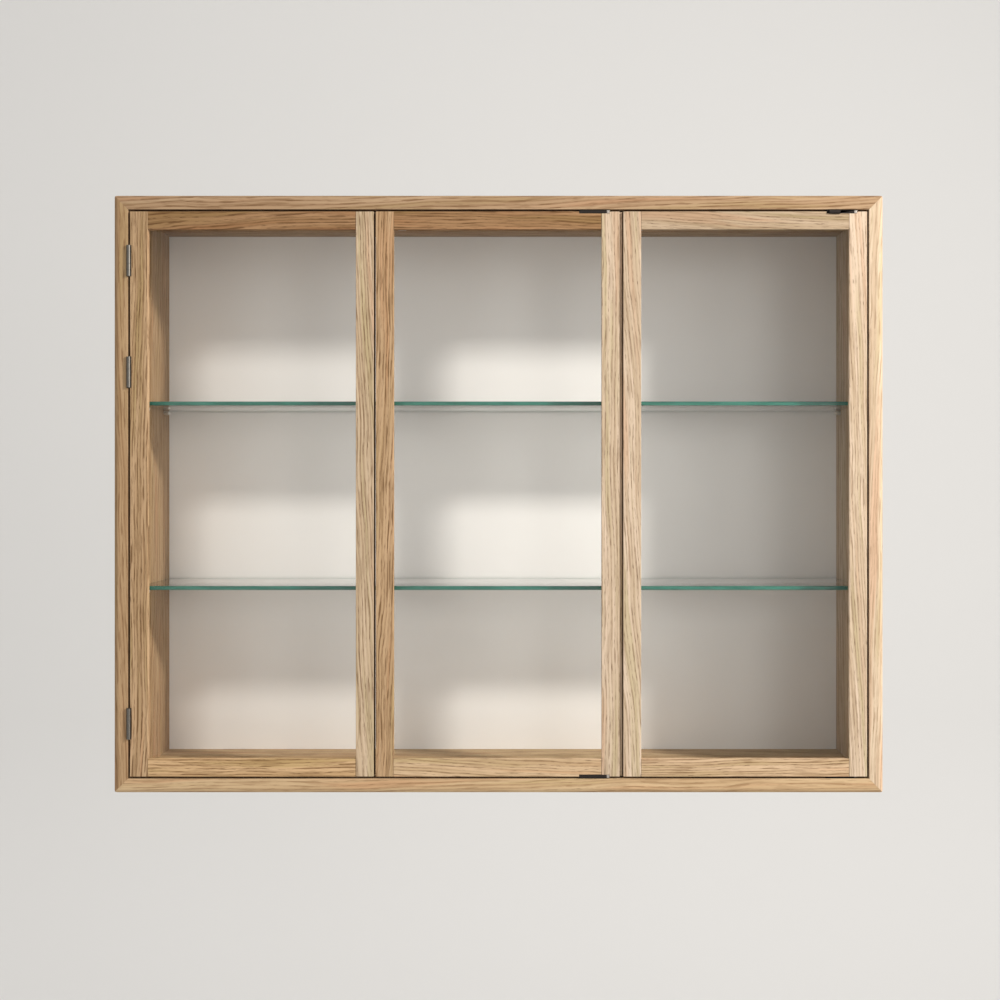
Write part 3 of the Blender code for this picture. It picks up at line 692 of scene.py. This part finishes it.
LEAF_SCREW_SPREAD, LEAF_SCREW_INSET = 12 * MM, 6 * MM  # from a hinge leaf's middle and back edge
LEAF_RECESS = 0.1 * MM  # of a hinge leaf's face, below the wood's
PIVOT_SCREWS = (6 * MM, 17 * MM)  # from the plate's left end
PLATE_PROUD, ARM_GAP = 0.7 * MM, 1.0 * MM  # from the case's inner face to the pivots' plates and arms
LATCH_BORE_DEPTH, LATCH_TRAVEL = 42 * MM, 3 * MM
LATCH_SCREW_INSET = 6 * MM  # from the housing's back end
SPRING_FREE_FRONT, SPRING_FREE_BACK, UNEVEN_PITCH = 0.3 * MM, 0.2 * MM, 0.045
PANEL_SCREWS, PANEL_SCREW_END, PANEL_SCREW_INSET = 6, 30 * MM, 4 * MM
CLEAT_SCREWS_X, CLEAT_SCREW_RISE = (-0.40, -0.20, 0.0, 0.20, 0.40), 33 * MM
BATTEN_SCREWS_X = (-0.38, 0.0, 0.38)
WALL_SCREWS_X, WALL_SCREW_Z = (-0.36, -0.12, 0.12, 0.36), 4 * MM  # x = 0 is the case's middle


def across(out, turn=0.0):
    """A direction at right angles to out, turned about it."""
    side = out.orthogonal().normalized()
    side.rotate(Matrix.Rotation(turn, 3, out))
    return side


def ring(bm, place, out, side, radius, height=0.0, steps=24):
    """A circle of points round the axis that runs through place along out."""
    other = out.cross(side)
    points = []
    for i in range(steps):
        angle = 2 * math.pi * i / steps
        spoke = side * math.cos(angle) + other * math.sin(angle)
        points.append(bm.verts.new(place + spoke * radius + out * height))
    return points


def cross(bm, place, out, side, arm, half, height):
    """The outline of a four-armed recess. Each arm is as long as arm and twice half wide."""
    other = out.cross(side)
    points = []
    for quarter in range(4):
        spin = Matrix.Rotation(quarter * math.pi / 2, 3, out)
        for u, v in ((arm, -half), (arm, half), (half, half)):
            points.append(bm.verts.new(place + spin @ (side * u + other * v) + out * height))
    return points


def screws(name, body, slot, material, heads, radius=2.5 * MM, dome=0.2 * MM, shank=7 * MM, floor=0.02 * MM):
    """Countersunk screws with a cross recess, in one piece. heads lists (place on the surface, outward).

    The surface isn't drilled, so the recess's floor, painted as its shadow, stays just above it. Only where
    the surface has a countersink does the floor lie below.
    """
    chance = random.Random(name)
    bm = bmesh.new()
    for place, out in heads:
        place, out = Vector(place), Vector(out)
        side = across(out, chance.uniform(0, math.pi))
        # Shares of the radius, and heights over the surface
        profile = [(0.56, dome), (0.82, dome * 0.6), (1.0, 0.0), (0.53, -0.49 * radius)]
        profile += [(0.47, -0.8 * shank), (0.08, -shank)]
        loops = [ring(bm, place, out, side, radius * share, height) for share, height in profile]
        loops.insert(0, cross(bm, place, out, side, 0.44 * radius, 0.12 * radius, dome))
        loops.insert(0, cross(bm, place, out, side, 0.34 * radius, 0.10 * radius, floor))
        close_tube(bm, loops).material_index = 1
    bmesh.ops.recalc_face_normals(bm, faces=bm.faces)
    return finished(name, bm, [material, RECESS_SHADOW], body)


def hinge_screws():
    case_x, door_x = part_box("carcass_left_side")[1].x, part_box("left_door_left_stile")[0].x
    leaves = (("carcass_leaf", case_x, 1, "carcass"), ("door_leaf", door_x, -1, "left_door"))
    for leaf, x, outward, body in leaves:
        heads = []
        for hinge in HINGES:
            low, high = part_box(f"{hinge}_{leaf}")
            middle = (low.z + high.z) / 2
            for z in (middle - LEAF_SCREW_SPREAD, middle + LEAF_SCREW_SPREAD):
                place = (x - outward * LEAF_RECESS, high.y - LEAF_SCREW_INSET, z)
                heads.append((place, (outward, 0, 0)))
        screws(f"hinge_{leaf}_screws", body, "satin_nickel", NICKEL, heads, dome=0.05 * MM, floor=-1.0 * MM)


def pivot_screws():
    inner = {"top": (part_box("carcass_top")[0].z, -1), "bottom": (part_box("carcass_bottom")[1].z, 1)}
    for door in DOORS[1:]:
        plate_heads, arm_heads = [], []
        for end, (z, inward) in inner.items():
            low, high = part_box(f"{door}_{end}_pivot_plate")
            y = (low.y + high.y) / 2
            for x in (low.x + inset for inset in PIVOT_SCREWS):
                plate_heads.append(((x, y, z + inward * PLATE_PROUD), (0, 0, inward)))
                arm_heads.append(((x, y, z + inward * ARM_GAP), (0, 0, -inward)))
        size = {"radius": 2.3 * MM, "dome": 0.09 * MM}
        screws(f"{door}_pivot_plate_screws", "carcass", "black_steel", BLACK, plate_heads, **size)
        screws(f"{door}_pivot_arm_screws", door, "black_steel", BLACK, arm_heads, shank=9 * MM, **size)


def latch_details():
    """What belongs to each push latch: its fixing screw, its spring and the strike disc on the door."""
    door_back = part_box("left_door_top_rail")[1].y
    housing_screws = []
    for door in DOORS:
        low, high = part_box(f"{door}_latch_housing")
        middle = (low + high) / 2
        housing_screws.append(((middle.x, high.y - LATCH_SCREW_INSET, low.z), (0, 0, -1)))
        strike(f"{door}_strike", door, Vector((middle.x, door_back, middle.z)))
        plunger_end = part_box(f"{door}_latch_plunger")[1].y
        start = Vector((middle.x, plunger_end + SPRING_FREE_FRONT, middle.z))
        end = Vector((middle.x, low.y + LATCH_BORE_DEPTH - SPRING_FREE_BACK, middle.z))
        spring(f"{door}_latch_spring", start, end)
    screws("latch_housing_screws", "carcass", "satin_nickel", ZINC, housing_screws, radius=2.2 * MM)


def strike(name, body, place):
    """A small steel disc let into the back of the door's rail, for the plunger to push on."""
    bm = bmesh.new()
    out = Vector((0, 1, 0))
    side = across(out)
    profile = [(0.9, 0.04), (1.2, 0.15), (3.1, 0.15), (3.4, 0.03), (3.4, -0.8)]  # radius, height in mm
    loops = [ring(bm, place, out, side, radius * MM, height * MM, 32) for radius, height in profile]
    close_tube(bm, loops)
    bmesh.ops.recalc_face_normals(bm, faces=bm.faces)
    finished(name, bm, [ZINC], body)


def spring(name, start, end, radius=2.3 * MM, wire=0.25 * MM, turns=7, per_turn=20):
    """A compression spring along Y, with an uneven pitch."""
    bm = bmesh.new()
    along = (end - start).normalized()
    side = across(along)
    other = along.cross(side)
    reach = (end - start).length - 2 * wire
    loops = []
    for i in range(turns * per_turn + 1):
        share = i / (turns * per_turn)
        angle = 2 * math.pi * turns * share
        uneven_share = share + UNEVEN_PITCH * math.sin(4 * math.pi * share)
        out = side * math.cos(angle) + other * math.sin(angle)
        run = (other * math.cos(angle) - side * math.sin(angle)) * radius
        run += along * reach / (turns * 2 * math.pi)
        place = start + out * radius + along * (wire + reach * uneven_share)
        loops.append(ring(bm, place, run.normalized(), out, wire, steps=8))
    close_tube(bm, loops)
    bmesh.ops.recalc_face_normals(bm, faces=bm.faces)
    coil = finished(name, bm, [SPRING_STEEL], "carcass", sharp=80)
    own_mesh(coil)


def rear_screws(node, heads, **shape):
    """The zinc screws of a part at the back of the case."""
    screws(f"{node}_screws", body_of(node), "satin_nickel", ZINC, heads, **shape)


def back_panel_screws():
    low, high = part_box("back_panel")
    first, last = low.z + PANEL_SCREW_END, high.z - PANEL_SCREW_END
    heads = []
    for i in range(PANEL_SCREWS):
        z = first + (last - first) * i / (PANEL_SCREWS - 1)
        for x in (low.x + PANEL_SCREW_INSET, high.x - PANEL_SCREW_INSET):
            heads.append(((x, high.y, z), (0, 1, 0)))
    rear_screws("back_panel", heads, radius=3.0 * MM, shank=12 * MM)


def hanging_screws():
    """The screws of both cleats and of the batten that keeps the case upright."""
    low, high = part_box("cabinet_cleat")
    heads = [((x, high.y, low.z + CLEAT_SCREW_RISE), (0, 1, 0)) for x in CLEAT_SCREWS_X]
    rear_screws("cabinet_cleat", heads, radius=3.6 * MM, shank=22 * MM)

    low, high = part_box("lower_batten")
    heads = [((x, high.y, (low.z + high.z) / 2), (0, 1, 0)) for x in BATTEN_SCREWS_X]
    rear_screws("lower_batten", heads, radius=3.6 * MM, shank=20 * MM, dome=0.05 * MM, floor=0.01 * MM)

    low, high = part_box("wall_cleat")
    heads = [((x, low.y, WALL_SCREW_Z), (0, -1, 0)) for x in WALL_SCREWS_X]
    rear_screws("wall_cleat", heads, radius=4.2 * MM, shank=17 * MM)


# Studio

FLOOR_Z, WALL_Y, WALL_TOP, BEND, REACH = -2.0, 2.9, 6.0, 0.9, 15.0
WORLD_STRENGTH = 0.74
KEY_DIRECTION, KEY_DISTANCE = Vector((1.5, -1.0, 0.87)), 2.9
SIDE_FILL, FRONT_FILL = Vector((2.3, -1.5, 0.2)), Vector((1.2, -2.3, 0.4))  # from the case's centre
KEY_COLOUR, FILL_COLOUR = (1.0, 0.965, 0.92), (1.0, 0.985, 0.96)
EYE_RIGHT, EYE_UP, EYE_DISTANCE = 0.0524, 0.0136, 1.712  # from the middle of the case's front
FOCAL_LENGTH, SENSOR_WIDTH = 50, 36  # millimetres
SHIFT_X, SHIFT_Y = -0.041, -0.017


def pale_paint():
    t = Tree("pale_sweep")
    cloud = t.noise(t.stretched(t.object_axes(), (0.6, 0.6, 0.6)), 2.0)
    colour = t.mix(cloud, (0.74, 0.735, 0.725), (0.76, 0.755, 0.745))
    return t.principled({"Base Color": colour, "Roughness": 0.9})


def backdrop():
    """Floor and wall in one sheet, with a round bend between them."""
    bend_y, steps = WALL_Y - BEND, 16
    outline = [(-REACH, FLOOR_Z), (bend_y, FLOOR_Z)]
    for i in range(1, steps + 1):
        angle = math.pi / 2 * i / steps
        outline.append((bend_y + BEND * math.sin(angle), FLOOR_Z + BEND * (1 - math.cos(angle))))
    outline.append((WALL_Y, WALL_TOP))
    bm = bmesh.new()
    rows = [[bm.verts.new((x, y, z)) for y, z in outline] for x in (-REACH, REACH)]
    for i in range(len(outline) - 1):
        bm.faces.new((rows[0][i], rows[1][i], rows[1][i + 1], rows[0][i + 1]))
    mesh = bpy.data.meshes.new("studio_sweep")
    bm.to_mesh(mesh)
    bm.free()
    mesh.shade_smooth()
    mesh.materials.append(pale_paint())
    sheet = bpy.data.objects.new("studio_sweep", mesh)
    bpy.context.scene.collection.objects.link(sheet)


def soft_sky():
    world = bpy.data.worlds.new("soft_studio")
    world.use_nodes = True
    world.node_tree.nodes["Background"].inputs["Color"].default_value = (1.0, 0.985, 0.965, 1)
    world.node_tree.nodes["Background"].inputs["Strength"].default_value = WORLD_STRENGTH
    bpy.context.scene.world = world


def lamps():
    """A warm key lamp high on the right and two soft fills."""
    centre = (CAD_BOUNDS[0] + CAD_BOUNDS[1]) / 2
    key_place = centre + KEY_DIRECTION.normalized() * KEY_DISTANCE
    area_light("key", key_place, centre, size=0.30, power=81, colour=KEY_COLOUR)
    area_light("side_fill", centre + SIDE_FILL, centre, size=1.5, power=20, colour=FILL_COLOUR)
    front = area_light("front_fill", centre + FRONT_FILL, centre, size=0.8, power=6, colour=FILL_COLOUR)
    front.visible_glossy = False  # the panes would mirror it


def area_light(name, place, target, size, power, colour):
    """A round lamp that faces the target and that the camera doesn't see."""
    data = bpy.data.lights.new(name, "AREA")
    data.shape = "DISK"
    data.size = size
    data.energy = power
    data.color = colour
    lamp = bpy.data.objects.new(name, data)
    lamp.location = place
    lamp.rotation_euler = (Vector(target) - Vector(place)).to_track_quat("-Z", "Y").to_euler()
    lamp.visible_camera = False
    bpy.context.scene.collection.objects.link(lamp)
    return lamp


def camera():
    """A normal lens a little right of the case's middle, at about its mid height, square to the wall."""
    low, high = CAD_BOUNDS
    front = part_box("carcass_top")[0].y
    data = bpy.data.cameras.new("camera")
    data.lens, data.sensor_width = FOCAL_LENGTH, SENSOR_WIDTH
    data.shift_x, data.shift_y = SHIFT_X, SHIFT_Y
    eye = bpy.data.objects.new("camera", data)
    eye.location = (EYE_RIGHT, front - EYE_DISTANCE, (low.z + high.z) / 2 + EYE_UP)
    eye.rotation_euler = (math.pi / 2, 0, 0)
    bpy.context.scene.collection.objects.link(eye)
    bpy.context.scene.camera = eye


camera()
backdrop()
soft_sky()
lamps()
timber()
glazing_beads()
meeting_seal()
back_panel()
glass()
fittings()
hinge_screws()
pivot_screws()
latch_details()
back_panel_screws()
hanging_screws()

bpy.context.scene.view_settings.view_transform = "Standard"
